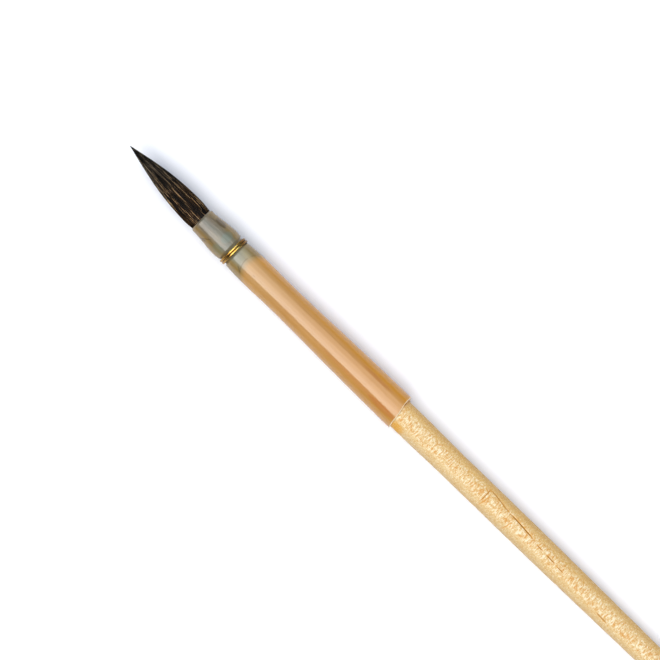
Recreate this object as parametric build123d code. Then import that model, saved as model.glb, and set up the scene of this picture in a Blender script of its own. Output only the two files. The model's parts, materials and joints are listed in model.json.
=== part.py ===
from build123d import *
from math import asin, cos, pi, radians, sin
import os

# Pointed quill brush: a tuft of squirrel hair, tied and glued at its roots, drawn through a
# natural feather quill, bound with brass wire, with a turned wooden handle glued in the quill.
# Units are millimetres. The brush lies on its side, with +X towards the point of the hair and
# +Z up. The origin is under the middle of its length, level with the quill's lowest point.
# Places along the brush are given as distances behind the mouth of the quill.

# Lengths along the brush
HAIR_LENGTH = 20.0  # free hair, from the mouth of the quill to the point
QUILL_LENGTH = 54.0
HANDLE_LENGTH = 116.0  # the part of the handle behind the quill
MOUTH_X = (QUILL_LENGTH + HANDLE_LENGTH - HAIR_LENGTH) / 2

# Quill, as distances behind the mouth and radii
MOUTH_RADIUS = 2.46
LIP = (0.6, 2.72)  # end of the mouth's rounded edge
WAIST = 8.74  # middle of the wire binding
WAIST_START = (7.79, 3.05)
WAIST_END = (9.69, 3.05)
FRONT_SECTIONS = ((3.4, 2.95), (6.2, 3.19), WAIST_START)
REAR_SECTIONS = (WAIST_END, (11.2, 3.17), (19.0, 3.17), (34.0, 3.35), (55.0, 3.625))
FRONT_WALL = 0.32  # the quill is thinner where it holds the hair
REAR_WALL = 0.38
REAR_CUT_YAW = 7.0  # the rear end is cut a little askew
REAR_CUT_PITCH = 5.0
AXIS_Z = 3.62  # height of the brush's axis: the radius of the quill's rear end

# Wire binding
WIRE_RADIUS = 0.26
WIRE_PITCH = 0.54
WIRE_TURNS = 2
COIL_RADIUS = 3.04
TWIST_AZIMUTH = radians(-129)  # the twisted ends lie low on the far side
TWIST_START = 9.9
TWIST_LENGTH = 2.4
TWIST_TURNS = 1.25
TWIST_LIFT = 0.695  # height of the twist's centre line over the coil's
STRAND_OFFSET = 0.28
OVER_LEAD = 0.9  # angle in which the front end climbs over the coil to the twist
OVER_SKEW = 3.2
UNDER_LEAD = 0.55  # angle in which the rear end turns into the twist
UNDER_SKEW = 1.5
CLIMB_SPEED = 1.1

# Hair
HAIR_LEAN = 2.0  # set of the tuft to one side, in degrees
BEND_GAP = 0.08  # clearance between the bending tuft and the collar
COLLAR_LENGTH = 1.8  # stub of hair that stands out of the quill and stays put
COLLAR_RADIUS = 2.38
SEAT_RADIUS = (COLLAR_LENGTH**2 + COLLAR_RADIUS**2) ** 0.5
TUFT_RADIUS = 2.6
TUFT_SECTIONS = ((4.7, 1.10), (9.4, 1.97), (13.0, 2.38))  # lengths from the point, and radii
POINT_RADIUS = 0.06
ROOT_END = 11.6

# Thread and resin at the roots
THREAD_RADIUS = 0.12
THREAD_TURNS = 4
THREAD_PITCH = 0.25
THREAD_START = 10.45
THREAD_COIL_RADIUS = 2.62
RESIN_RADIUS = 2.84
RESIN_LENGTH = 1.6

# Handle
HANDLE_OFFSET = 0.22  # the handle sits to one side in the quill
SPIGOT_START = 14.2
SPIGOT_ROUNDING = 0.5
SPIGOT_TIP_RADIUS = 2.45
SPIGOT_REAR_RADIUS = 2.84
SHOULDER_TAPER = 1.6
SHOULDER_LENGTH = 4.0
SHOULDER_RADIUS = 3.0
SHANK_RADIUS = 2.86
SHANK_START = 68.0
SHANK_LENGTH = 18.0
TAPER_POINT = (117.0, 2.6)
TAIL_RADIUS = 2.15
TAIL_ROUNDING = 1.2
TAIL_CAP_RADIUS = 1.5
TAIL_CAP_DEPTH = 0.25
GLUE_START = 40.0
GLUE_END = QUILL_LENGTH - 0.45
FILM = 0.01  # clearance of the filling inside the quill
CUTTER = 12.0  # wider than any section of the brush


def at(distance, radius):
    """A point of a turned outline, at a distance behind the mouth of the quill."""
    return (MOUTH_X - distance, radius)


def turned(edges):
    """Solid of revolution about the X axis, under an outline that runs from front to rear."""
    front = edges[0] @ 0
    rear = edges[-1] @ 1
    corners = [rear, (rear.X, 0), (front.X, 0), front]
    if rear.Y < FILM:
        corners.pop(1)
    if front.Y < FILM:
        corners.pop(-2)
    return revolve(make_face(Curve() + edges + [Polyline(*corners)]), Axis.X)


def cap(apex, rim, rim_radius):
    """Three points of an arc that turns into a ball's cap, from its apex on the axis to its rim."""
    depth = rim - apex
    ball = (rim_radius**2 + depth**2) / (2 * depth)
    half = asin(rim_radius / abs(ball)) / 2
    middle = at(apex + ball * (1 - cos(half)), abs(ball) * sin(half))
    return (at(apex, 0), middle, at(rim, rim_radius))


def wall(distance):
    """Thickness of the quill at a distance behind its mouth."""
    return FRONT_WALL + (REAR_WALL - FRONT_WALL) * distance / QUILL_LENGTH


def quill_line(walls, inset, start):
    """Outline of the quill, sunk by a number of walls (0 outside, 1 for the bore) and an inset."""

    def point(distance, radius):
        return at(distance, radius - walls * wall(distance) - inset)

    slope = 0.42  # length of each side of the groove that the wire pulls into the quill
    floor_radius = COIL_RADIUS - WIRE_RADIUS - FILM
    floor_start = WAIST_START[0] + slope
    floor_end = WAIST_END[0] - slope
    bend = slope * 0.31
    return [
        Spline(point(start, LIP[1]), *[point(*section) for section in FRONT_SECTIONS]),
        ThreePointArc(
            point(*WAIST_START),
            point(WAIST_START[0] + bend, floor_radius + bend),
            point(floor_start, floor_radius),
        ),
        Line(point(floor_start, floor_radius), point(floor_end, floor_radius)),
        ThreePointArc(
            point(floor_end, floor_radius),
            point(WAIST_END[0] - bend, floor_radius + bend),
            point(*WAIST_END),
        ),
        Spline(*[point(*section) for section in REAR_SECTIONS]),
    ]


def bore_filling(inset, start, end):
    """Solid that fills the quill's bore between two distances behind the mouth."""
    keep = Pos(MOUTH_X - (start + end) / 2, 0, 0) * Box(end - start, CUTTER, CUTTER)
    return turned(quill_line(1, inset, 0)) & keep


def place(shape):
    """Lift a shape from the brush's own axis to its height over the surface."""
    return Pos(0, 0, AXIS_Z) * shape


def quill_ferrule():
    """Feather quill with a drawn-in mouth, a waist under the wire and an oblique rear end."""
    lip = ThreePointArc(at(0, MOUTH_RADIUS), at(0.16, 2.62), at(*LIP))
    outer = turned([lip] + quill_line(0, 0, LIP[0]))
    tube = outer - bore_filling(0, 0, REAR_SECTIONS[-1][0])
    rear_cut = Pos(MOUTH_X - QUILL_LENGTH, 0, 0) * Rot(0, REAR_CUT_PITCH, REAR_CUT_YAW)
    return tube - rear_cut * Pos(-CUTTER / 2, 0, 0) * Box(CUTTER, CUTTER, CUTTER)


def around(distance, azimuth, radius):
    """A point at an azimuth about the brush's axis, measured from +Y towards +Z."""
    return Vector(MOUTH_X - distance, radius * cos(azimuth), radius * sin(azimuth))


def wire_end(side, lead, skew):
    """Points of one end of the wire, from where it leaves the coil to its snipped tip."""
    leave = WAIST + side * WIRE_PITCH * (lead / (2 * pi) - WIRE_TURNS / 2)
    centre = COIL_RADIUS + TWIST_LIFT
    rise = TWIST_LIFT + side * STRAND_OFFSET
    points = []
    for step in range(1, 5):
        share = step / 5
        climb = CLIMB_SPEED * share
        lift = rise * climb**2 * (3 - 2 * climb)
        distance = leave + (TWIST_START - leave) * share**skew
        azimuth = TWIST_AZIMUTH + side * lead * (1 - share)
        points.append(around(distance, azimuth, COIL_RADIUS + lift))
    for step in range(15):
        share = step / 14
        turn = 2 * pi * TWIST_TURNS * share + side * pi / 2
        azimuth = TWIST_AZIMUTH + STRAND_OFFSET * cos(turn) / centre
        radius = centre + STRAND_OFFSET * sin(turn)
        points.append(around(TWIST_START + TWIST_LENGTH * share, azimuth, radius))
    return points


def binding_wire():
    """One brass wire: two turns round the waist, its ends twisted together and laid flat."""
    steps = 20 * WIRE_TURNS
    coil = []
    for step in range(steps + 1):
        wound = OVER_LEAD + (2 * pi * WIRE_TURNS - OVER_LEAD - UNDER_LEAD) * step / steps
        distance = WAIST + WIRE_PITCH * (wound / (2 * pi) - WIRE_TURNS / 2)
        coil.append(around(distance, TWIST_AZIMUTH + wound, COIL_RADIUS))
    over_end = wire_end(1, OVER_LEAD, OVER_SKEW)
    under_end = wire_end(-1, UNDER_LEAD, UNDER_SKEW)
    path = Spline(*reversed(over_end), *coil, *under_end)
    section = Plane(origin=path @ 0, z_dir=path % 0) * Circle(WIRE_RADIUS)
    return sweep(section, path=path, is_frenet=True)


def hair_tuft():
    """Free hair, pointed like a drop, hollowed behind so that it can bend over the collar."""
    seat_radius = SEAT_RADIUS + BEND_GAP
    seat_rim = (seat_radius**2 - COLLAR_LENGTH**2) ** 0.5
    outline = [
        ThreePointArc(*cap(-HAIR_LENGTH, -HAIR_LENGTH + POINT_RADIUS, POINT_RADIUS)),
        Spline(
            at(-HAIR_LENGTH + POINT_RADIUS, POINT_RADIUS),
            *[at(length - HAIR_LENGTH, radius) for length, radius in TUFT_SECTIONS],
            at(-COLLAR_LENGTH, TUFT_RADIUS),
        ),
        Line(at(-COLLAR_LENGTH, TUFT_RADIUS), at(-COLLAR_LENGTH, seat_rim)),
        ThreePointArc(*reversed(cap(-seat_radius, -COLLAR_LENGTH, seat_rim))),
    ]
    lean = Pos(MOUTH_X, 0, 0) * Rot(0, 0, -HAIR_LEAN) * Pos(-MOUTH_X, 0, 0)
    return lean * turned(outline)


def hair_roots():
    """The same hair inside the quill, waisted by the thread, with a domed stub at the mouth."""
    stub = turned(
        [
            ThreePointArc(*cap(-SEAT_RADIUS, -COLLAR_LENGTH, COLLAR_RADIUS)),
            Line(at(-COLLAR_LENGTH, COLLAR_RADIUS), at(0.3, COLLAR_RADIUS)),
        ]
    )
    tie_width = THREAD_TURNS * THREAD_PITCH + 2 * THREAD_RADIUS + 0.1
    tie_middle = THREAD_START + THREAD_TURNS * THREAD_PITCH / 2
    ring = Cylinder(4, tie_width) - Cylinder(THREAD_COIL_RADIUS - THREAD_RADIUS, tie_width)
    groove = Pos(MOUTH_X - tie_middle, 0, 0) * Rot(0, 90, 0) * ring
    return bore_filling(FILM, 0.0, ROOT_END) - groove + stub


def root_thread():
    """Thread that ties the bundle of hair close to its roots."""
    coil = Helix(THREAD_PITCH, THREAD_PITCH * THREAD_TURNS, THREAD_COIL_RADIUS)
    section = Plane(origin=coil @ 0, z_dir=coil % 0) * Circle(THREAD_RADIUS)
    wound = sweep(section, path=coil, is_frenet=True)
    return Pos(MOUTH_X - THREAD_START, 0, 0) * Rot(0, -90, 0) * wound


def root_resin():
    """Plug of resin that the hair roots are set in, with a hollow rear face."""
    rear = ROOT_END + RESIN_LENGTH
    return turned(
        [
            Line(at(ROOT_END, 0), at(ROOT_END, RESIN_RADIUS)),
            Line(at(ROOT_END, RESIN_RADIUS), at(rear, RESIN_RADIUS)),
            Line(at(rear, RESIN_RADIUS), at(rear, RESIN_RADIUS - 0.3)),
            ThreePointArc(*reversed(cap(rear - 0.5, rear, RESIN_RADIUS - 0.3))),
        ]
    )


def handle():
    """Turned wooden handle: tapered spigot, shoulder, straight shank and slender tail."""
    tip_face = at(SPIGOT_START, SPIGOT_TIP_RADIUS - SPIGOT_ROUNDING)
    tip_bend = at(SPIGOT_START + 0.15, SPIGOT_TIP_RADIUS - 0.15)
    spigot_front = at(SPIGOT_START + SPIGOT_ROUNDING, SPIGOT_TIP_RADIUS)
    spigot_rear = at(QUILL_LENGTH - SHOULDER_TAPER, SPIGOT_REAR_RADIUS)
    shoulder_front = at(QUILL_LENGTH, SHOULDER_RADIUS)
    shoulder_rear = at(QUILL_LENGTH + SHOULDER_LENGTH, SHOULDER_RADIUS)
    shank_front = at(SHANK_START, SHANK_RADIUS)
    shank_rear = at(SHANK_START + SHANK_LENGTH, SHANK_RADIUS)
    tail = QUILL_LENGTH + HANDLE_LENGTH
    tail_edge = at(tail - TAIL_ROUNDING, TAIL_RADIUS)
    tail_cap = cap(tail, tail - TAIL_CAP_DEPTH, TAIL_CAP_RADIUS)
    level = (-1, 0)
    taper = (-1, -0.008)
    outline = [
        ThreePointArc(tip_face, tip_bend, spigot_front),
        Polyline(spigot_front, spigot_rear, shoulder_front, shoulder_rear),
        Spline(shoulder_rear, shank_front, tangents=[level, level]),
        Line(shank_front, shank_rear),
        Spline(shank_rear, at(*TAPER_POINT), tail_edge, tangents=[level, taper]),
        Spline(tail_edge, tail_cap[-1], tangents=[taper, (-0.32, -0.95)]),
        ThreePointArc(*reversed(tail_cap)),
    ]
    return Pos(0, HANDLE_OFFSET, 0) * turned(outline)


def handle_glue():
    """Glue that fills the quill around the spigot, thicker on one side."""
    return bore_filling(FILM, GLUE_START, GLUE_END) - handle()


PIECES = {
    "hair_tuft": hair_tuft,
    "hair_roots": hair_roots,
    "root_thread": root_thread,
    "root_resin": root_resin,
    "quill_ferrule": quill_ferrule,
    "binding_wire": binding_wire,
    "handle": handle,
    "handle_glue": handle_glue,
}

os.makedirs("parts", exist_ok=True)
for name, build in PIECES.items():
    export_step(place(build()), "parts/" + name + ".step")
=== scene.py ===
"""A small pointed quill brush on its side: hair, feather quill, brass wire and raw wooden handle.

Everything is in metres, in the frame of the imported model: +X runs along the brush towards the point of
the hair, +Z is up and +Y is across. Along the brush, places are given as the distance behind the
quill's mouth, and round it as the angle from +Y towards +Z.
"""
import json
import math

import bpy
import numpy as np
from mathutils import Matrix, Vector
from mathutils.bvhtree import BVHTree


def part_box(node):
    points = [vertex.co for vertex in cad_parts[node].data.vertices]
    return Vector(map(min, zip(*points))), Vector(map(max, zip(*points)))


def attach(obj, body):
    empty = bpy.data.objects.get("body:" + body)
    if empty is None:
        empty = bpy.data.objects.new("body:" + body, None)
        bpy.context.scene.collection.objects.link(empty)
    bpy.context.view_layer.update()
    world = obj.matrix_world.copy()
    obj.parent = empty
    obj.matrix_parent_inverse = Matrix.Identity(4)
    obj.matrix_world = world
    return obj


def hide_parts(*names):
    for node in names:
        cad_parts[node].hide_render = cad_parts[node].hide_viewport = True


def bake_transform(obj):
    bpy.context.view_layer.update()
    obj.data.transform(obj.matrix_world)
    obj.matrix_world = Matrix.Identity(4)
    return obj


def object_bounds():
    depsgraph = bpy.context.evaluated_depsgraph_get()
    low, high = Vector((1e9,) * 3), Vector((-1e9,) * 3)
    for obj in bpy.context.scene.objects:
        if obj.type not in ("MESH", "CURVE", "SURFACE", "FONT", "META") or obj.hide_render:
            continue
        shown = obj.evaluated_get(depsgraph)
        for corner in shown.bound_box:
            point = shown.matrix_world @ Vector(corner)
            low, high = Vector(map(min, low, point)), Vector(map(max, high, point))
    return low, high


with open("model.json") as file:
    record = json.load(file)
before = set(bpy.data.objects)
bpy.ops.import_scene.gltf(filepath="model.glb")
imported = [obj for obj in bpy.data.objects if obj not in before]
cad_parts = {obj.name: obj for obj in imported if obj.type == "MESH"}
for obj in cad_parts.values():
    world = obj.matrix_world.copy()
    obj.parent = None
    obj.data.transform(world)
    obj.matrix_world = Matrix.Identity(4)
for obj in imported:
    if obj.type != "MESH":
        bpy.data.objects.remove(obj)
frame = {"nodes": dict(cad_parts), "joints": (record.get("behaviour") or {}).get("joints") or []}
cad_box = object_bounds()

MM = 0.001
MOUTH = Vector(frame["joints"][0]["pos_m"])  # middle of the quill's mouth, on the quill's axis
FAR = 0.02  # outside every part of the brush, for probing its surfaces
INSET = 0.004  # mm inside an end face, so that a probe there meets the side

# Camera
FRAMED_WIDTH = 128.35 * MM  # what the picture spans at the height of the brush's axis
AIM_BEHIND = 32.91 * MM
AIM_ACROSS = -2.03 * MM
CAMERA_TURN = math.radians(-135.9)
LENS, SENSOR = 200.0, 36.0

# Light: a soft box across the brush that gets brighter towards +Y, in steps, and ends there sharply
BOX_DISTANCE = 0.6
BOX_LENGTH = 0.64  # along the brush
BOX_END = math.radians(41)  # its +Y edge, from straight above
BOX_PARTS = (  # where each step starts, from straight above, and the radiance that it adds
    (math.radians(-44), 1.5),
    (math.radians(-13), 1.55),
    (math.radians(10), 1.45),
)
BOX_COLOUR = (1.02, 1.0, 0.97)
SKY_COLOUR = (0.66, 0.90, 1.40)
SKY_OVERHEAD, SKY_AT_HORIZON = 0.34, 0.10
FULL_LIGHT = 1.2  # how bright white paper facing up would be, if the picture's white is 1
FLOOR_SIZE = 3.0
FLOOR_COLOUR = (0.905, 0.905, 0.91)
FLOOR_GAP = 0.00001  # keeps the floor just clear of what lies on it

# Quill: lengths in mm, places in mm behind the mouth
QUILL_ROUND = 144  # points round the quill
QUILL_END = 54.0
WAIST_START, WAIST_END = 7.4, 10.4  # the waist that the wire is wound in
REAR_ZONE = 50.0  # from here on the stations follow the oblique rear end
REAR_PROBE = 3.45  # radius inside the wall, at which the rear end is probed
REAR_SETBACK = 0.12  # how far the uneven rear end lies in front of the CAD node's, on average
RIM_ROUNDING = 0.05
QUILL_OVALITY = 0.012

# Handle: lengths in mm, places in mm behind the mouth
SHOULDER_START, SHOULDER_END = 53.0, 60.0  # where the handle leaves the quill
SHANK_RADIUS = 2.86
CUT_ZONES = ((76.6, 77.6), (83.1, 84.1))  # where short cuts cross the grain
CUT_MARGIN = 0.3  # of fine stations on both sides of a cut
MARKS_END = 112.0  # the wood is unmarked behind this
TAIL_ROUNDING = 0.8
FINE_ARC = (math.radians(52), math.radians(134))  # the arc of the handle that holds the marks
FINE_STEP, COARSE_STEP = math.radians(1.15), math.radians(4.2)
TURNING_RIPPLE = 0.006

# Hair: lengths in mm
HAIR_SIDES = 3  # of each hair's section
HAIR_STEPS = 20  # along each hair
HAIR_THICKNESS = 0.056
HAIR_INSIDE = 1.2  # how far the hairs reach back into the quill
HAIR_RIM = 0.01  # between the hair and the quill's mouth
HAIR_SHORTEST = 4.0
HAIR_DRIFT, HAIR_WAVE, HAIR_SWAY = 0.012, 0.010, 0.03  # radians round the tuft
LOCKS = 46  # gathered locks round the tuft
LOCK_PULL = 0.45  # how far the hairs of a lock are drawn together at most
LOCK_DEPTH = 0.07  # how far the gaps between locks are sunk
STREAK_RADIUS = 2.2  # of the bundle as its streaks of colour lie in it
CORE_ROUND, CORE_STATIONS = 64, 90
CORE_DEPTH = 0.26  # from the surface of the tuft to the solid dark core
TIP_RADIUS = 0.02
CORE_SHARE = 0.72  # of the radius that the core fills at least


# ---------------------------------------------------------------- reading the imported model


def behind(distance):
    """The x of a place so many millimetres behind the quill's mouth."""
    return MOUTH.x - distance * MM


def distance_of(x):
    """How many millimetres a place's x lies behind the quill's mouth."""
    return (MOUTH.x - x) / MM


class Outline:
    """The radii of a round CAD node about a line along X, probed on its mesh, in mm."""

    PROBES = 48  # round the node

    def __init__(self, node, middle):
        mesh = frame["nodes"][node].data
        corners = [v.co.copy() for v in mesh.vertices]
        self.tree = BVHTree.FromPolygons(corners, [tuple(p.vertices) for p in mesh.polygons])
        self.middle = middle

    def radius(self, distance, angle, inside=False):
        """The outer or inner radius at one place, or None where there is nothing."""
        out = Vector((0, math.cos(angle), math.sin(angle)))
        foot = Vector((behind(distance), self.middle.y, self.middle.z))
        start, aim = (foot, out) if inside else (foot + out * FAR, -out)
        hit = self.tree.ray_cast(start, aim, FAR)[0]
        return None if hit is None else (hit - foot).length / MM

    def round_radius(self, distance, inside=False):
        """The radius at a station: the greatest over a turn, where the facets' corners are."""
        turn = [2 * math.pi * k / self.PROBES for k in range(self.PROBES)]
        found = [self.radius(distance, angle, inside) for angle in turn]
        return max((r for r in found if r is not None), default=0.0)

    def end_distance(self, radius, angle):
        """How far behind the mouth the node ends, at a radius and an angle."""
        side = Vector((0, math.cos(angle), math.sin(angle))) * radius * MM
        start = Vector((cad_box[0].x - FAR, self.middle.y, self.middle.z)) + side
        hit = self.tree.ray_cast(start, Vector((1, 0, 0)))[0]
        return distance_of(hit.x)


def middle_of(node):
    """The middle of a CAD node's box."""
    low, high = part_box(node)
    return (Vector(low) + Vector(high)) / 2


def stations(*runs):
    """Distances along the brush, from (start, end, step) runs that follow on from each other."""
    places = []
    for start, end, step in runs:
        count = max(1, round((end - start) / step))
        places += [start + (end - start) * k / count for k in range(count)]
    return np.array(places + [runs[-1][1]])


# ---------------------------------------------------------------- meshes


def new_object(name, data):
    obj = bpy.data.objects.new(name, data)
    bpy.context.scene.collection.objects.link(obj)
    return obj


def smooth_mesh(name, points, faces):
    """A smooth-shaded mesh from an array of points and a list of faces."""
    mesh = bpy.data.meshes.new(name)
    mesh.from_pydata(points.tolist(), [], faces)
    mesh.polygons.foreach_set("use_smooth", [True] * len(mesh.polygons))
    mesh.update()
    return mesh


def ring_faces(rings, count, loop):
    """Quads between neighbouring rings of count points each. In a loop the last ring joins the first."""
    faces = []
    for ring in range(rings if loop else rings - 1):
        here, there = ring * count, (ring + 1) % rings * count
        for k in range(count):
            after = (k + 1) % count
            faces.append((here + k, here + after, there + after, there + k))
    return faces


def skin(name, rings, loop=False):
    """A closed mesh over rings of points that run towards -X, with flat ends unless it is a loop."""
    number, count = rings.shape[:2]
    faces = ring_faces(number, count, loop)
    if not loop:
        faces.append(tuple(reversed(range(count))))
        faces.append(tuple(range((number - 1) * count, number * count)))
    return smooth_mesh(name, rings.reshape(-1, 3), faces)


def ring_points(distances, radii, angles, middle):
    """Points at distances and radii, each an array of stations by angles, in mm."""
    x = behind(distances)
    y = middle.y + radii * np.cos(angles) * MM
    z = middle.z + radii * np.sin(angles) * MM
    return np.stack([x + 0 * y, y, z], axis=-1)


def point_values(mesh, name, values):
    """Stores a number for each point of a mesh, for its material to read."""
    layer = mesh.attributes.new(name, "FLOAT", "POINT")
    layer.data.foreach_set("value", np.asarray(values, dtype=np.float32).ravel())


def eased(value, start, end):
    """0 before start, 1 after end, and a smooth rise between them."""
    share = np.clip((value - start) / (end - start), 0, 1)
    return share * share * (3 - 2 * share)


# ---------------------------------------------------------------- quill


def quill_stations():
    """Distances behind the mouth, closest at the front rim and in the waist."""
    return stations(
        (0.0, 0.7, 0.05),
        (0.7, WAIST_START, 0.2),
        (WAIST_START, WAIST_END, 0.075),
        (WAIST_END, REAR_ZONE, 0.3),
        (REAR_ZONE, QUILL_END, 0.2),
    )


def quill_rear(outline, angles):
    """How far behind the mouth the oblique rear end lies at each angle, slightly uneven."""
    ends = np.array([outline.end_distance(REAR_PROBE, angle) for angle in angles])
    uneven = 0.10 * np.cos(2 * angles - 2.0) + 0.05 * np.sin(5 * angles + 0.6)
    return ends + (uneven - REAR_SETBACK)


def quill_radii(outline, places, distances, angles, inside=False):
    """The outer or inner radii of the quill, which is a little oval behind the hair roots."""
    round_radii = np.array([outline.round_radius(max(d, INSET), inside) for d in places])
    oval = QUILL_OVALITY * np.cos(2 * angles + 0.02 * distances) * eased(places, 11, 20)[:, None]
    return np.interp(distances, places, round_radii) + oval


def build_quill():
    """The quill as a finer tube than the CAD node's, with a rounded and slightly uneven rear rim."""
    node = "quill_ferrule"
    middle = Vector((0, MOUTH.y, MOUTH.z))
    outline = Outline(node, middle)
    angles = np.arange(QUILL_ROUND) * 2 * math.pi / QUILL_ROUND
    ends, places = quill_rear(outline, angles), quill_stations()
    rear_share = np.clip((places - REAR_ZONE) / (places[-1] - REAR_ZONE), 0, 1)[:, None]
    distances = places[:, None] + rear_share * (ends[None, :] - places[-1])
    outer = quill_radii(outline, places, distances, angles)
    inner = quill_radii(outline, places, distances, angles, inside=True)
    rim_distances = np.stack([ends, ends]) + RIM_ROUNDING
    rim_radii = np.stack([outer[-1] - RIM_ROUNDING, inner[-1] + RIM_ROUNDING])
    rings = np.concatenate([
        ring_points(distances, outer, angles, middle),
        ring_points(rim_distances, rim_radii, angles, middle),
        ring_points(distances[::-1], inner[::-1], angles, middle),
    ])
    quill = new_object("quill", skin("quill", rings, loop=True))
    rim = np.zeros(rings.shape[:2])
    rim[len(places) - 1:len(places) + 2] = 1.0
    point_values(quill.data, "rim", rim)
    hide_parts(node)
    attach(quill, "brush")
    return quill


# ---------------------------------------------------------------- handle


class Mark:
    """A crack or scratch in the wood: a line of (distance, across) points in mm, its width and its depth."""

    def __init__(self, points, width, depth, colour=1.0):
        self.points, self.width, self.depth, self.colour = np.array(points), width, depth, colour

    def strength(self, distance, across):
        """1 in the middle of the mark, 0 outside it, and tapered towards both of its ends."""
        starts, ends = self.points[:-1], self.points[1:]
        lengths = np.linalg.norm(ends - starts, axis=1)
        before = np.concatenate([[0], np.cumsum(lengths)])[:-1]
        whole = lengths.sum()
        best = np.zeros_like(distance)
        for start, end, length, passed in zip(starts, ends, lengths, before):
            along = (end - start) / length
            offset = np.stack([distance - start[0], across - start[1]], axis=-1)
            reach = np.clip(offset @ along, 0, length)
            painted_gap_shade = np.linalg.norm(offset - reach[..., None] * along, axis=-1)
            share = (passed + reach) / whole
            taper = np.clip(np.minimum(share, 1 - share) * 5, 0, 1) ** 0.5
            half_width = self.width * (0.35 + 0.65 * taper)
            best = np.maximum(best, np.clip(1 - painted_gap_shade / half_width, 0, 1) * taper)
        return best


MARKS = [  # the wood has opened along the grain
    Mark([(76.5, -1.72), (78.5, -1.60), (80.1, -1.38), (81.3, -1.15), (82.86, -1.05)], 0.13, 0.05),
    Mark([(82.66, -1.06), (84.16, -1.01), (86.05, -0.87), (89.04, -0.62), (89.73, -0.56)], 0.20, 0.12),
    Mark([(90.63, -0.29), (91.6, -0.20), (92.4, -0.19)], 0.14, 0.06),
    Mark([(93.2, -0.17), (94.4, -0.09), (95.7, -0.04)], 0.17, 0.10),
    Mark([(96.3, 0.09), (98.2, 0.15)], 0.14, 0.06),
    Mark([(107.96, 1.17), (109.35, 1.25), (111.04, 1.27)], 0.14, 0.07),
    # short cuts across the grain
    Mark([(76.8, -1.95), (76.9, -0.6), (76.86, 0.5), (76.8, 1.25)], 0.14, 0.06),
    Mark([(77.4, -1.5), (77.54, -0.4), (77.4, 0.8), (77.2, 1.6), (77.0, 2.5)], 0.22, 0.035, 0.45),
    Mark([(83.96, -0.2), (84.0, 1.0), (83.76, 1.8), (83.26, 2.6)], 0.19, 0.035, 0.45),
]

NICKS = [  # distance (mm), angle (degrees), length, width round the handle (mm), depth
    (77.2, 4, 0.5, 1.6, 0.06),
    (99.1, 2, 0.7, 1.2, 0.05),
    (97.8, 182, 0.5, 0.8, 0.04),
    (69.0, 186, 1.5, 1.4, 0.03),
    (131.0, 75, 0.8, 1.0, 0.05),
    (145.0, 250, 1.2, 1.0, 0.05),
]


def handle_angles():
    """Angles round the handle, close together over the marks."""
    start, end = FINE_ARC
    fine = np.arange(start, end, FINE_STEP)
    coarse = np.arange(end, start + 2 * math.pi, COARSE_STEP)
    return np.concatenate([fine, coarse])


def handle_stations(start, end):
    """Distances behind the mouth from the spigot's front to the tail, closest over the cuts."""
    runs, place = [(start, SHOULDER_START, 1.0), (SHOULDER_START, SHOULDER_END, 0.2)], SHOULDER_END
    for cut_start, cut_end in CUT_ZONES:
        fine_start, fine_end = cut_start - CUT_MARGIN, cut_end + CUT_MARGIN
        runs += [(place, fine_start, 0.2), (fine_start, fine_end, 0.06)]
        place = fine_end
    tail = end - TAIL_ROUNDING
    runs += [(place, MARKS_END, 0.2), (MARKS_END, tail, 0.5), (tail, end - 0.002, 0.05)]
    return stations(*runs)


def nicks(distance, angle):
    """The depth of the small dents in the wood's surface."""
    depth = np.zeros_like(distance)
    for place, degrees, length, width, deep in NICKS:
        turn = np.angle(np.exp(1j * (angle - math.radians(degrees)))) * SHANK_RADIUS
        shape = 1 - ((distance - place) / length) ** 2 - (turn / width) ** 2
        depth = np.maximum(depth, deep * np.clip(shape, 0, 1))
    return depth


def marked(radius, distance, angle):
    """The radii with the marks cut into them, and how much of a crack each point is."""
    across = radius * np.cos(angle)
    top = eased(np.sin(angle), -0.1, 0.3)
    crack = np.zeros_like(distance)
    for mark in MARKS:
        strength = mark.strength(distance, across) * top
        radius = radius - mark.depth * strength**0.7
        crack = np.maximum(crack, strength * mark.colour)
    return radius - nicks(distance, angle), crack


def build_handle():
    """The handle as a finer turning than the CAD node's, with its cracks, cuts and nicks."""
    node = "handle"
    middle = middle_of(node)
    outline = Outline(node, middle)
    low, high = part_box(node)
    places = handle_stations(distance_of(high[0]) + INSET, distance_of(low[0]))
    radii = np.array([outline.round_radius(d) for d in places])
    angles = handle_angles()
    distance, angle = np.meshgrid(places, angles, indexing="ij")
    radius, crack = marked(np.repeat(radii[:, None], len(angles), axis=1), distance, angle)
    ripple = np.sin(distance * 0.9 + 2 * np.cos(angle))
    radius += TURNING_RIPPLE * ripple * eased(distance, QUILL_END, SHOULDER_END)
    handle = new_object("handle_wood", skin("handle_wood", ring_points(distance, radius, angles, middle)))
    point_values(handle.data, "crack", crack)
    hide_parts(node)
    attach(handle, "brush")
    return handle


# ---------------------------------------------------------------- hair


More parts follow.
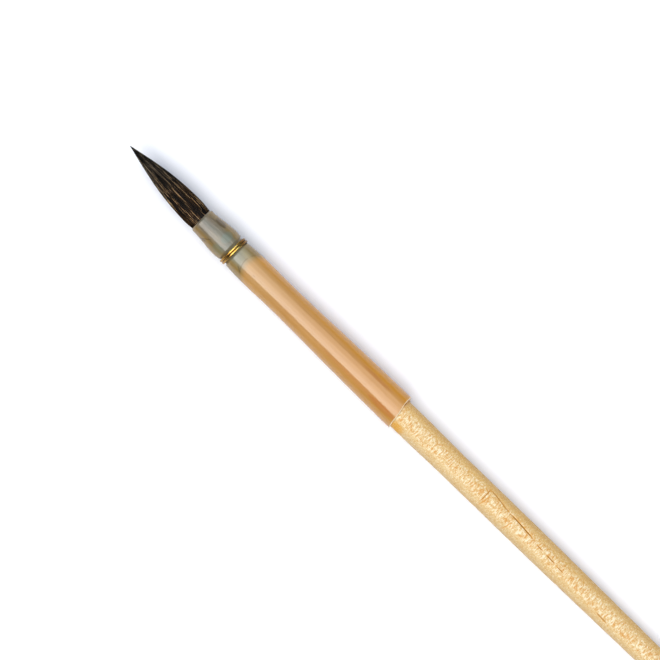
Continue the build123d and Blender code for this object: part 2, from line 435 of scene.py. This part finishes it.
class Tuft:
    """The shape that the free hair fills, read off the CAD node."""

    def __init__(self):
        mesh = frame["nodes"]["hair_tuft"].data
        self.tip = max((v.co for v in mesh.vertices), key=lambda co: co.x).copy()
        self.length = (self.tip - MOUTH).length / MM
        self.lean = (self.tip.y - MOUTH.y) / (self.tip.x - MOUTH.x)
        outline = Outline("hair_tuft", MOUTH)
        probed = np.linspace(2.0, self.length - 0.15, 60)
        radii = np.array([self.width_at(outline, place) for place in probed])
        at_mouth = Outline("quill_ferrule", MOUTH).round_radius(0.02, inside=True) - HAIR_RIM
        self.places = np.concatenate([[-5.0, 0.0], probed, [self.length]])
        self.radii = np.concatenate([[at_mouth, at_mouth], radii, [TIP_RADIUS]])

    def width_at(self, outline, place):
        """Half the width across the brush at a distance in front of the mouth."""
        outline.middle = MOUTH + Vector((0, self.lean * place * MM, 0))
        return (outline.radius(-place, math.pi / 2) + outline.radius(-place, -math.pi / 2)) / 2

    def radius(self, place):
        """The tuft's radius at distances in front of the mouth, all in mm."""
        return np.interp(place, self.places, self.radii)

    def middle(self, place):
        """The x, y and z of the tuft's curved middle line, in metres."""
        drift = self.lean * np.maximum(place, 0) * eased(place, -1.0, 3.0)
        return MOUTH.x + place * MM, MOUTH.y + drift * MM, MOUTH.z + 0 * place

    def reach(self, share):
        """How far the hairs of a bundle reach: a share of them passes each narrower section."""
        belly = int(np.argmax(self.radii))
        return np.interp(share * self.radii[belly], self.radii[belly:][::-1], self.places[belly:][::-1])


def hair_places(rng, tuft, count, late):
    """How far in front of the mouth the points along each hair lie."""
    ends = tuft.reach(rng.random(count) ** 1.25)
    starts = np.where(rng.random(count) < late, rng.uniform(1, 9, count), -HAIR_INSIDE)
    ends = np.clip(ends, starts + HAIR_SHORTEST, tuft.length)
    return starts[:, None] + (ends - starts)[:, None] * np.linspace(0, 1, HAIR_STEPS + 1)[None, :]


def hair_angles(rng, turn, side, place, pull):
    """The angles along each hair: drawn into locks, with a drift and a wave of its own."""
    count = len(turn)
    drift = rng.normal(0, HAIR_DRIFT, count)[:, None] * pull
    pace, phase = rng.uniform(0.5, 1.1, count), rng.uniform(0, 2 * math.pi, count)
    wave = rng.normal(0, HAIR_WAVE, count)[:, None] * np.sin(place * pace[:, None] + phase[:, None])
    gather = -side[:, None] * math.pi / LOCKS * LOCK_PULL * pull
    sway = HAIR_SWAY * np.sin(place * 0.3 + 3.0 * np.sin(turn * 3.0)[:, None]) * pull
    return turn[:, None] + drift + wave + gather + sway


def hair_radii(rng, tuft, side, place, pull, depth, lift, thickness):
    """How far from the tuft's middle line each hair runs: sunk by up to depth or lifted by up to lift."""
    count = len(side)
    sunk = rng.random(count)[:, None] * depth * eased(place, -0.5, 3.0)
    sunk = sunk + LOCK_DEPTH * side[:, None] ** 2 * pull
    rise = lift * rng.random(count)[:, None] * eased(place, 1.0, 5.0)
    shell = tuft.radius(place)
    return np.maximum(shell - thickness / 2 - (sunk - rise) * np.clip(shell / 1.6, 0, 1), 0.0)


def hair_corners(tuft, place, angle, radius, half):
    """The points of the thin tubes along the hairs, each half a thickness off the hair's middle line."""
    x, y, z = tuft.middle(place)
    centre = np.stack([x, y + radius * np.cos(angle) * MM, z + radius * np.sin(angle) * MM], axis=-1)
    corners = []
    for corner in range(HAIR_SIDES):
        spin = angle + 2 * math.pi * corner / HAIR_SIDES
        offset = np.stack([0 * spin, np.cos(spin), np.sin(spin)], axis=-1)
        corners.append(centre + offset * half[..., None] * MM)
    return np.stack(corners, axis=2).reshape(-1, 3)


def streak_places(turn, place):
    """Where each hair's points lie in the straight bundle, which the streaks of colour follow."""
    across = STREAK_RADIUS * np.cos(turn)[:, None] + 0 * place
    up = STREAK_RADIUS * np.sin(turn)[:, None] + 0 * place
    return np.stack([place + 0.03 * place**2, across, up], axis=-1).reshape(-1, 3)


def strands(name, tuft, count, seed, depth, lift, tone, thickness=HAIR_THICKNESS, late=0.0):
    """Single hairs over the tuft's surface, gathered into locks, each a thin three-sided tube.

    They lie up to depth under the surface or lift above it, and a share of them, late, starts part of
    the way along."""
    rng = np.random.default_rng(seed)
    turn = rng.random(count) * 2 * math.pi
    lock = turn / (2 * math.pi) * LOCKS
    side = 2 * (lock - np.floor(lock)) - 1
    place = hair_places(rng, tuft, count, late)
    pull = eased(place, 0.5, 9.0)
    angle = hair_angles(rng, turn, side, place, pull)
    radius = hair_radii(rng, tuft, side, place, pull, depth, lift, thickness)
    taper = 1 - 0.6 * eased(np.linspace(0, 1, HAIR_STEPS + 1), 0.6, 1.0)[None, :]
    half = thickness / 2 * rng.uniform(0.75, 1.2, count)[:, None] * taper
    points = hair_corners(tuft, place, angle, radius, half)
    obj = new_object(name, smooth_mesh(name, points, strand_faces(count)))
    shade, chance = rng.uniform(*tone, count), rng.random(count)
    each = (HAIR_STEPS + 1) * HAIR_SIDES
    hair_values(
        obj.data,
        tone=np.repeat(shade, each),
        along=np.repeat(place.ravel() / tuft.length, HAIR_SIDES),
        chance=np.repeat(chance, each),
        lie=np.repeat(streak_places(turn, place), HAIR_SIDES, axis=0),
    )
    return obj


def hair_values(mesh, tone, along, chance, lie):
    """Stores what the hair's material reads.

    It is each hair's tone, its place along the tuft, a chance value of its own and its lie in the bundle."""
    point_values(mesh, "tone", tone)
    point_values(mesh, "along", along)
    point_values(mesh, "chance", chance)
    layer = mesh.attributes.new("lie", "FLOAT_VECTOR", "POINT")
    layer.data.foreach_set("vector", np.asarray(lie, dtype=np.float32).ravel())


def strand_faces(count):
    """Quads along every hair, with a cap at both of its ends."""
    faces = []
    size = (HAIR_STEPS + 1) * HAIR_SIDES
    for hair in range(count):
        first = hair * size
        for step in range(HAIR_STEPS):
            here, there = first + step * HAIR_SIDES, first + (step + 1) * HAIR_SIDES
            for k in range(HAIR_SIDES):
                after = (k + 1) % HAIR_SIDES
                faces.append((here + k, there + k, there + after, here + after))
        faces.append((first, first + 1, first + 2))
        last = first + size - HAIR_SIDES
        faces.append((last + 2, last + 1, last))
    return faces


def build_core(tuft):
    """The dark inside of the bundle, which shows between the hairs."""
    places = np.linspace(tuft.length - 0.3, -HAIR_INSIDE, CORE_STATIONS)
    angles = np.arange(CORE_ROUND) * 2 * math.pi / CORE_ROUND
    x, y, z = tuft.middle(places)
    radii = np.maximum(tuft.radius(places) - CORE_DEPTH, CORE_SHARE * tuft.radius(places))[:, None]
    rings = np.stack([
        x[:, None] + 0 * radii * angles,
        y[:, None] + radii * np.cos(angles) * MM,
        z[:, None] + radii * np.sin(angles) * MM,
    ], axis=-1)
    core = new_object("hair_core", skin("hair_core", rings))
    count = len(core.data.vertices)
    hair_values(
        core.data,
        tone=np.zeros(count),
        along=np.repeat(places / tuft.length, CORE_ROUND),
        chance=np.full(count, 0.5),
        lie=np.full((count, 3), 50.0),
    )
    return core


def build_hair():
    """The whole tuft: a dark core under three layers of single hairs."""
    tuft = Tuft()
    pieces = [
        build_core(tuft),
        strands("hair_under", tuft, count=1300, seed=11, depth=0.20, lift=0.0, tone=(0.0, 0.3)),
        strands("hair_over", tuft, count=1500, seed=12, depth=0.08, lift=0.01, tone=(0.0, 0.7)),
        # pale tan hairs, whose brightest streaks are painted highlights on the locks
        strands("hair_tan_and_sheen", tuft, count=220, seed=13, depth=0.02, lift=0.03, tone=(0.8, 2.6),
                thickness=0.075, late=0.7),
    ]
    for piece in pieces:
        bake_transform(piece)
        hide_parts("hair_tuft")
    return pieces


# ---------------------------------------------------------------- materials


class Shader:
    """A Principled material whose nodes are written as plain expressions."""

    def __init__(self, name, **sockets):
        self.material = bpy.data.materials.new(name)
        self.material.use_nodes = True
        self.tree = self.material.node_tree
        self.surface = self.tree.nodes["Principled BSDF"]
        for socket, value in sockets.items():
            self.surface.inputs[socket.replace("_", " ")].default_value = value

    def node(self, kind, **settings):
        made = self.tree.nodes.new(kind)
        for key, value in settings.items():
            setattr(made, key, value)
        return made

    def feed(self, socket, value):
        """Links an output to an input socket, or sets the socket to a plain value."""
        if isinstance(value, bpy.types.NodeSocket):
            self.tree.links.new(value, socket)
        elif isinstance(value, tuple) and len(value) == 3 and socket.type == "RGBA":
            socket.default_value = (*value, 1)
        else:
            socket.default_value = value

    def millimetres(self, middle):
        """The place on the surface in mm from a point of the frame."""
        shift = self.node("ShaderNodeVectorMath", operation="SUBTRACT")
        self.feed(shift.inputs[0], self.node("ShaderNodeTexCoord").outputs["Object"])
        self.feed(shift.inputs[1], tuple(middle))
        scale = self.node("ShaderNodeVectorMath", operation="SCALE")
        self.feed(scale.inputs[0], shift.outputs[0])
        scale.inputs["Scale"].default_value = 1 / MM
        return scale.outputs[0]

    def split(self, vector):
        """The x, y and z of a vector."""
        parts = self.node("ShaderNodeSeparateXYZ")
        self.feed(parts.inputs[0], vector)
        return parts.outputs

    def noise(self, place, scale, detail=2.0, rough=0.5, warp=0.0, seed=0.0):
        """Noise from 0 to 1 whose grains are 1 / scale mm long along each axis."""
        stretch = self.node("ShaderNodeMapping")
        self.feed(stretch.inputs["Vector"], place)
        stretch.inputs["Scale"].default_value = scale
        stretch.inputs["Location"].default_value = (seed, seed * 1.7, seed * 2.3)
        made = self.node("ShaderNodeTexNoise")
        self.feed(made.inputs["Vector"], stretch.outputs[0])
        made.inputs["Scale"].default_value = 1.0
        made.inputs["Detail"].default_value = detail
        made.inputs["Roughness"].default_value = rough
        made.inputs["Distortion"].default_value = warp
        return made.outputs["Fac"]

    def value(self, name):
        """A number that is stored on the mesh's points."""
        return self.node("ShaderNodeAttribute", attribute_name=name).outputs["Fac"]

    def math(self, operation, first, second=0.0):
        made = self.node("ShaderNodeMath", operation=operation)
        self.feed(made.inputs[0], first)
        self.feed(made.inputs[1], second)
        return made.outputs[0]

    def band(self, value, start, end, low=0.0, high=1.0):
        """low before start and high after end, with a smooth change between them."""
        made = self.node("ShaderNodeMapRange", interpolation_type="SMOOTHSTEP")
        self.feed(made.inputs["Value"], value)
        for socket, number in zip(("From Min", "From Max", "To Min", "To Max"), (start, end, low, high)):
            made.inputs[socket].default_value = number
        return made.outputs[0]

    def both(self, *values):
        """The product of several masks."""
        result = values[0]
        for value in values[1:]:
            result = self.math("MULTIPLY", result, value)
        return result

    def spot(self, x, across, centre, size, soft=0.5):
        """1 in the middle of an oval at centre with half axes size, both in mm, and 0 outside it."""
        far_x = self.math("DIVIDE", self.math("SUBTRACT", x, centre[0]), size[0])
        far_y = self.math("DIVIDE", self.math("SUBTRACT", across, centre[1]), size[1])
        square = self.math("ADD", self.math("MULTIPLY", far_x, far_x), self.math("MULTIPLY", far_y, far_y))
        return self.band(square, 1 - soft, 1 + soft, 1.0, 0.0)

    def ramp(self, value, *stops):
        """A colour from (place, colour) stops."""
        made = self.node("ShaderNodeValToRGB")
        self.feed(made.inputs[0], value)
        steps = made.color_ramp.elements
        while len(steps) < len(stops):
            steps.new(0.5)
        for step, (place, colour) in zip(steps, stops):
            step.position = place
            step.color = (*colour, 1)
        return made.outputs["Color"]

    def mix(self, share, first, second):
        """The first colour with a share of the second over it."""
        made = self.node("ShaderNodeMix", data_type="RGBA", blend_type="MIX")
        self.feed(made.inputs["Factor"], share)
        self.feed(made.inputs[6], first)
        self.feed(made.inputs[7], second)
        return made.outputs[2]

    def bump(self, height, depth, under=None):
        """A bump whose height of 1 is depth mm, on top of another bump if there is one under it."""
        made = self.node("ShaderNodeBump")
        made.inputs["Strength"].default_value = 1.0
        made.inputs["Distance"].default_value = depth * MM
        self.feed(made.inputs["Height"], height)
        if under is not None:
            self.feed(made.inputs["Normal"], under)
        return made.outputs[0]

    def finish(self, colour=None, roughness=None, normal=None):
        """The material, with what is given linked to its surface."""
        if colour is not None:
            self.feed(self.surface.inputs["Base Color"], colour)
        if roughness is not None:
            self.feed(self.surface.inputs["Roughness"], roughness)
        if normal is not None:
            self.feed(self.surface.inputs["Normal"], normal)
        return self.material


def seen(red, green, blue):
    """The surface colour that looks like this on a screen, from 0 to 255, in the full light from above."""
    return tuple((c / 12.92 if c <= 0.04045 else ((c + 0.055) / 1.055) ** 2.4) / FULL_LIGHT
                 for c in (red / 255, green / 255, blue / 255))


QUILL_SPOTS = [  # (distance, across) and half axes in mm, slope, colour on screen, share
    ((3.3, -2.2), (1.3, 0.5), 0.0, (74, 62, 46), 0.8),  # hair roots that crowd against the wall
    ((3.3, 2.1), (1.0, 0.09), -0.72, (66, 50, 36), 0.85),
    ((2.9, 2.62), (0.75, 0.12), -0.25, (56, 42, 28), 0.8),
    ((4.5, 1.72), (1.3, 0.10), 0.12, (84, 70, 50), 0.5),
    ((6.1, -1.0), (0.9, 1.3), 0.0, (108, 136, 122), 0.4),  # greener membrane
    ((6.4, 1.9), (1.2, 0.8), 0.0, (104, 130, 112), 0.4),
    ((12.0, 1.75), (0.6, 0.16), 0.5, (84, 76, 50), 0.6),  # the dark edge of the resin plug
    ((15.1, 0.75), (0.35, 0.08), 0.0, (140, 96, 58), 0.7),
    ((33.0, -1.42), (9.2, 0.06), 0.0, (170, 120, 62), 0.5),  # a fibre of the horn
    ((46.0, -1.7), (4.0, 0.30), 0.0, (190, 118, 58), 0.55),  # redder horn where the barbs began
    ((44.5, 1.55), (10.0, 0.40), 0.0, (200, 128, 56), 0.4),
    ((50.5, 1.8), (3.5, 0.55), 0.0, (192, 108, 42), 0.5),
]
RESIN_EDGE = 11.75  # mm behind the mouth, on the brush's top line
TOP_LINE = -0.2  # mm across, where the colours of the roots and the resin's edge are centred


def horn_colour(s, back, y, fibres, clouds):
    """The clear golden amber of the quill, which reddens to the rear. Both sides are painted a deeper amber
    to cancel the pale grazing reflection there.
    """
    horn = s.ramp(
        s.math("DIVIDE", back, QUILL_END),
        (0.26, seen(199, 153, 92)),
        (0.50, seen(200, 149, 86)),
        (0.75, seen(202, 147, 80)),
        (1.0, seen(203, 146, 75)),
    )
    horn = s.mix(s.band(fibres, 0.45, 0.75, 0.0, 0.3), horn, seen(220, 168, 98))
    horn = s.mix(s.band(clouds, 0.5, 0.75, 0.0, 0.35), horn, seen(190, 132, 64))
    # painted shade: both sides turn a deeper amber, so that the pale grazing reflection of floor and sky
    # there is cancelled
    horn = s.mix(s.band(y, 1.5, 2.9, 0.0, 0.6), horn, seen(202, 142, 24))
    return s.mix(s.band(y, -2.9, -1.5, 0.85, 0.0), horn, seen(220, 149, 16))


def covered_roots_colour(s, back, beside, fine, clouds):
    """The grey-green of the hair roots as they show through the quill."""
    roots = s.ramp(
        s.math("DIVIDE", back, 14.0),
        (0.0, seen(126, 110, 84)),
        (0.12, seen(120, 108, 88)),
        (0.35, seen(134, 122, 96)),
        (0.62, seen(120, 117, 96)),
        (0.72, seen(166, 157, 122)),
        (1.0, seen(178, 154, 102)),
    )
    roots = s.mix(s.band(fine, 0.4, 0.75, 0.0, 0.5), roots, seen(162, 146, 118))
    roots = s.mix(s.band(clouds, 0.35, 0.7, 0.0, 0.5), roots, seen(88, 100, 90))
    # painted shade: both sides turn a deeper amber, so that the pale grazing reflection there is cancelled
    painted_sides = s.band(s.math("ABSOLUTE", beside), 1.2, 2.3, 0.0, 0.8)
    return s.mix(painted_sides, roots, seen(148, 116, 44))


def quill_material():
    """Feather quill: grey-green over the hair roots, then clear golden amber."""
    s = Shader("feather_quill", IOR=1.57)
    place = s.millimetres(MOUTH)
    x, y, z = s.split(place)
    back = s.math("MULTIPLY", x, -1.0)
    beside = s.math("ADD", y, -TOP_LINE)
    top = s.band(z, -0.5, 1.0)
    fibres = s.noise(place, (0.025, 1.5, 1.5), detail=2, rough=0.5, seed=3)
    clouds = s.noise(place, (0.14, 0.6, 0.6), detail=3, seed=8)
    fine = s.noise(place, (0.5, 4.0, 4.0), detail=3, seed=12)
    horn = horn_colour(s, back, y, fibres, clouds)
    roots = covered_roots_colour(s, back, beside, fine, clouds)
    bowed = s.math("SUBTRACT", back, s.math("MULTIPLY", s.math("MULTIPLY", beside, beside), 0.15))
    front = s.band(s.math("ADD", bowed, s.math("MULTIPLY", fine, 1.2)), 11.9, 14.0, 1.0, 0.0)
    colour = s.mix(front, horn, roots)
    edge = s.band(s.math("ABSOLUTE", s.math("SUBTRACT", bowed, RESIN_EDGE)), 0.02, 0.2, 0.5, 0.0)
    colour = s.mix(s.both(edge, top, s.band(clouds, 0.35, 0.6)), colour, seen(112, 92, 58))
    for centre, size, slope, tint, share in QUILL_SPOTS:
        slanted = s.math("SUBTRACT", y, s.math("MULTIPLY", s.math("SUBTRACT", back, centre[0]), slope))
        mask = s.both(s.spot(back, slanted, centre, size), top, s.band(fine, 0.2, 0.7, 0.4, 1.0))
        colour = s.mix(s.math("MULTIPLY", mask, share), colour, seen(*tint))
    # painted shade in the waist, beside and under the wire
    painted_waist_shade = s.both(s.band(back, 7.4, 8.0), s.band(back, 9.5, 9.9, 1.0, 0.0))
    colour = s.mix(s.math("MULTIPLY", painted_waist_shade, 0.5), colour, seen(112, 100, 72))
    colour = s.mix(s.band(s.value("rim"), 0.2, 0.9), colour, seen(255, 236, 190))
    # painted shade: the +Y side, which faces the light, is darkened a little to even out the shading
    colour = s.mix(s.band(y, -0.4, 2.6, 0.0, 0.11), colour, (0.12, 0.05, 0.01))
    lengthwise = s.bump(fibres, 0.005)
    normal = s.bump(s.noise(place, (3.0, 0.7, 0.7), detail=2, seed=5), 0.0015, under=lengthwise)
    return s.finish(colour, s.band(fine, 0.3, 0.7, 0.12, 0.17), normal)


STAIN_BEHIND, STAIN_ACROSS = 55.2, 2.4  # mm, the middle of the glue's stain on the shoulder
STAIN_SIZE = (1.6, 0.85)  # mm, its half axes


def wood_material(middle):
    """Raw pale hardwood: ray flecks where the rays lie flat, fine pores and long fibres elsewhere."""
    s = Shader("raw_wood", IOR=1.45, Specular_IOR_Level=0.3)
    place = s.millimetres(middle)
    x, y, _ = s.split(place)
    flecks = s.noise(place, (3.4, 0.95, 4.0), detail=2, rough=0.55, warp=0.15, seed=4)
    pores = s.noise(place, (4.2, 6.6, 6.6), detail=2, rough=0.6, seed=9)
    fibres = s.noise(place, (0.3, 5.0, 5.0), detail=4, rough=0.6, seed=15)
    layers = s.noise(place, (0.018, 0.9, 0.2), detail=2, seed=21)
    flat_rays = s.band(s.math("ABSOLUTE", s.math("ADD", y, 0.15)), 0.8, 1.7, 1.0, 0.12)
    colour = s.mix(s.band(layers, 0.35, 0.65), seen(230, 196, 134), seen(238, 208, 152))
    # painted: the -Y side, away from the light, is made deeper orange against its pale grazing reflection
    colour = s.mix(s.band(y, -2.6, -0.2, 0.8, 0.0), colour, seen(238, 186, 92))
    # painted shade: the +Y side, which faces the light, is toned down
    colour = s.mix(s.band(y, 0.9, 2.7, 0.0, 0.5), colour, seen(208, 176, 122))
    colour = s.mix(s.band(fibres, 0.47, 0.66, 0.0, 0.5), colour, seen(210, 166, 94))
    colour = s.mix(s.band(pores, 0.53, 0.64, 0.0, 0.8), colour, seen(212, 150, 56))
    colour = s.mix(s.band(pores, 0.36, 0.46, 0.6, 0.0), colour, seen(255, 244, 208))
    dark_flecks = s.both(flat_rays, s.band(flecks, 0.53, 0.62, 0.0, 0.7))
    pale_flecks = s.both(flat_rays, s.band(flecks, 0.38, 0.47, 0.65, 0.0))
    colour = s.mix(dark_flecks, colour, seen(216, 144, 46))
    colour = s.mix(pale_flecks, colour, seen(255, 244, 212))
    stain_place = ((behind(STAIN_BEHIND) - middle.x) / MM, STAIN_ACROSS)
    stain = s.both(s.spot(x, y, stain_place, STAIN_SIZE, soft=0.9), s.band(pores, 0.2, 0.7, 0.4, 1.0))
    colour = s.mix(s.math("MULTIPLY", stain, 0.95), colour, seen(226, 158, 0))
    crack = s.value("crack")
    colour = s.mix(s.band(crack, 0.04, 0.5), colour, seen(220, 152, 60))
    colour = s.mix(s.band(crack, 0.55, 0.9, 0.0, 0.9), colour, seen(112, 62, 10))
    relief = s.bump(pores, 0.010)
    relief = s.bump(flecks, 0.008, under=relief)
    normal = s.bump(fibres, 0.010, under=relief)
    return s.finish(colour, s.band(pores, 0.3, 0.7, 0.5, 0.68), normal)


def wire_material():
    """Drawn brass: bright gold in rubbed patches, with fine die lines; painted shade darkens its sides and
    the gaps between the turns.
    """
    s = Shader("drawn_brass", Metallic=1.0, IOR=1.45)
    place = s.millimetres(MOUTH)
    _, y, z = s.split(place)
    patches = s.noise(place, (1.6, 1.1, 1.1), detail=3, seed=2)
    lines = s.noise(place, (14.0, 1.0, 1.0), detail=2, seed=6)
    colour = s.mix(s.band(patches, 0.35, 0.7), seen(255, 226, 128), seen(246, 192, 88))
    colour = s.mix(s.band(lines, 0.5, 0.8, 0.0, 0.2), colour, seen(176, 108, 34))
    # painted shade: both sides of the wire are darkened, standing in for the dark surroundings it would
    # reflect there, so that its top reads as the highlight
    colour = s.mix(s.band(y, 0.3, 1.1, 0.0, 0.7), colour, seen(142, 84, 30))
    colour = s.mix(s.band(y, -2.0, -1.0, 0.6, 0.0), colour, seen(142, 76, 24))
    colour = s.mix(s.band(y, -2.3, -1.8, 0.6, 0.0), colour, seen(60, 26, 8))
    # painted shade where the turns meet each other and the quill
    from_axis = s.math("SQRT", s.math("ADD", s.math("MULTIPLY", y, y), s.math("MULTIPLY", z, z)))
    painted_gap_shade = s.band(from_axis, 3.04, 3.22, 1.0, 0.0)
    colour = s.mix(s.math("MULTIPLY", painted_gap_shade, 0.9), colour, seen(84, 40, 12))
    return s.finish(colour, s.band(patches, 0.3, 0.7, 0.24, 0.33), s.bump(lines, 0.0015))


def hair_material():
    """Squirrel hair: nearly black brown with tan streaks, greyer and more even towards the point. Its
    brightest streaks are painted highlights on the locks, since the hair has little gloss of its own.
    """
    s = Shader("squirrel_hair", IOR=1.5, Specular_IOR_Level=0.08)
    tone, along, chance = s.value("tone"), s.value("along"), s.value("chance")
    lie = s.node("ShaderNodeAttribute", attribute_name="lie").outputs["Vector"]
    fine = s.noise(lie, (0.25, 15.0, 15.0), detail=1, rough=0.5, seed=6)
    streaks = s.noise(lie, (0.18, 11.5, 11.5), detail=0, rough=0.5, seed=17)
    level = s.math("ADD", s.band(streaks, 0.5, 0.67, 0.0, 0.48), s.band(fine, 0.5, 0.66, 0.0, 0.34))
    level = s.math("ADD", level, s.math("MULTIPLY", tone, 0.25))
    # the tan stops are the hair's own colour; the palest stops are painted highlights on the locks
    root = s.ramp(
        level,
        (0.1, seen(5, 2, 1)),
        (0.36, seen(18, 11, 5)),
        (0.58, seen(48, 32, 16)),
        (0.8, seen(122, 86, 48)),
        (1.0, seen(246, 202, 142)),
    )
    point = s.ramp(
        level,
        (0.1, seen(4, 2, 1)),
        (0.36, seen(15, 11, 8)),
        (0.62, seen(52, 45, 39)),
        (1.0, seen(160, 142, 116)),
    )
    shift = s.math("ADD", along, s.math("MULTIPLY", s.math("SUBTRACT", chance, 0.5), 0.3))
    colour = s.mix(s.band(shift, 0.2, 0.65), root, point)
    return s.finish(colour, s.band(chance, 0.0, 1.0, 0.36, 0.5))


def thread_material():
    """Waxed linen thread, seen only with the brush taken apart."""
    s = Shader("waxed_thread", Roughness=0.7)
    place = s.millimetres(MOUTH)
    ply = s.noise(place, (9.0, 5.0, 5.0), detail=3, warp=0.6, seed=4)
    colour = s.mix(s.band(ply, 0.35, 0.7), seen(188, 168, 132), seen(222, 206, 172))
    return s.finish(colour, normal=s.bump(ply, 0.02))


def resin_material():
    """Dark resin that holds the butts of the hair."""
    s = Shader("hair_resin", Coat_Weight=0.4, Coat_Roughness=0.12)
    place = s.millimetres(MOUTH)
    swirl = s.noise(place, (1.4, 1.4, 1.4), detail=4, warp=0.8, seed=7)
    colour = s.mix(s.band(swirl, 0.3, 0.7), seen(64, 40, 20), seen(112, 70, 30))
    return s.finish(colour, s.band(swirl, 0.3, 0.7, 0.22, 0.4), s.bump(swirl, 0.03))


def glue_material():
    """Dried amber glue."""
    s = Shader("amber_glue", Coat_Weight=0.5, Coat_Roughness=0.1)
    place = s.millimetres(MOUTH)
    flow = s.noise(place, (0.5, 1.1, 1.1), detail=4, warp=0.7, seed=9)
    colour = s.mix(s.band(flow, 0.3, 0.7), seen(186, 116, 36), seen(220, 160, 74))
    return s.finish(colour, s.band(flow, 0.3, 0.7, 0.2, 0.38), s.bump(flow, 0.03))


def roots_material():
    """The hair roots as one dark bundle with streaks along it."""
    s = Shader("hair_roots_dark")
    place = s.millimetres(MOUTH)
    streaks = s.noise(place, (0.25, 7.0, 7.0), detail=4, seed=5)
    colour = s.mix(s.band(streaks, 0.35, 0.7), seen(22, 16, 11), seen(74, 56, 38))
    return s.finish(colour, s.band(streaks, 0.3, 0.7, 0.4, 0.55), s.bump(streaks, 0.05))


def floor_material():
    """Plain pale paper."""
    s = Shader("pale_floor", Roughness=0.9, Specular_IOR_Level=0.1)
    return s.finish(FLOOR_COLOUR)


def paint(obj, material):
    """Gives an object one material all over."""
    if obj.material_slots:
        for used in obj.material_slots:
            used.material = material
    else:
        obj.data.materials.append(material)


# ---------------------------------------------------------------- stage


def build_floor():
    """A pale floor that meets the quill's rear rim and the tail of the handle, on which the brush rests."""
    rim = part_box("quill_ferrule")[0]
    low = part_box("handle")[0]
    outline = Outline("handle", middle_of("handle"))
    tail_distance = distance_of(low[0]) - 1.5
    tail_height = MOUTH.z - outline.round_radius(tail_distance) * MM
    slope = (tail_height - rim[2]) / (behind(tail_distance) - rim[0])
    half = FLOOR_SIZE / 2
    points = [Vector((x, y, rim[2] + slope * (x - rim[0]) - FLOOR_GAP)) for x, y in
              ((-half, -half), (half, -half), (half, half), (-half, half))]
    mesh = bpy.data.meshes.new("floor")
    mesh.from_pydata(points, [], [(0, 1, 2, 3)])
    floor = new_object("floor", mesh)
    paint(floor, floor_material())


def build_light():
    """A large soft box overhead: area lights of different widths that end together on the +Y side."""
    target = Vector((behind(AIM_BEHIND / MM), 0, 0))
    for box_start, radiance in BOX_PARTS:
        lean, half = (box_start + BOX_END) / 2, (BOX_END - box_start) / 2
        light = bpy.data.lights.new("soft_box", "AREA")
        light.shape = "RECTANGLE"
        light.size, light.size_y = BOX_LENGTH, 2 * BOX_DISTANCE * math.tan(half)
        light.energy = math.pi * radiance * light.size * light.size_y
        light.color = BOX_COLOUR
        box = new_object("soft_box", light)
        box.location = target + Vector((0, math.sin(lean), math.cos(lean))) * BOX_DISTANCE
        box.rotation_euler = (-lean, 0, 0)


def build_sky():
    """A faint bluish sky, brighter overhead."""
    world = bpy.data.worlds.new("sky")
    world.use_nodes = True
    nodes, links = world.node_tree.nodes, world.node_tree.links
    sky = nodes["Background"]
    sky.inputs["Color"].default_value = (*SKY_COLOUR, 1)
    direction = nodes.new("ShaderNodeSeparateXYZ")
    fade = nodes.new("ShaderNodeMapRange")
    fade.inputs["To Min"].default_value = SKY_AT_HORIZON
    fade.inputs["To Max"].default_value = SKY_OVERHEAD
    links.new(nodes.new("ShaderNodeTexCoord").outputs["Generated"], direction.inputs[0])
    links.new(direction.outputs["Z"], fade.inputs["Value"])
    links.new(fade.outputs[0], sky.inputs["Strength"])
    bpy.context.scene.world = world
    bpy.context.scene.view_settings.view_transform = "Standard"


def build_camera():
    """Straight above the brush, with a long lens."""
    data = bpy.data.cameras.new("camera")
    data.lens, data.sensor_width = LENS, SENSOR
    data.clip_end = 10
    camera = new_object("camera", data)
    distance = FRAMED_WIDTH * LENS / SENSOR
    camera.location = (MOUTH.x - AIM_BEHIND, MOUTH.y + AIM_ACROSS, MOUTH.z + distance)
    camera.rotation_euler = (0, 0, CAMERA_TURN)
    bpy.context.scene.camera = camera


# ---------------------------------------------------------------- the brush

build_camera()
build_light()
build_sky()
build_floor()

paint(build_quill(), quill_material())
paint(build_handle(), wood_material(middle_of("handle")))
hair = hair_material()
for piece in build_hair():
    paint(piece, hair)
for node, material in (
    ("binding_wire", wire_material()),
    ("root_thread", thread_material()),
    ("root_resin", resin_material()),
    ("handle_glue", glue_material()),
    ("hair_roots", roots_material()),
):
    paint(frame["nodes"][node], material)
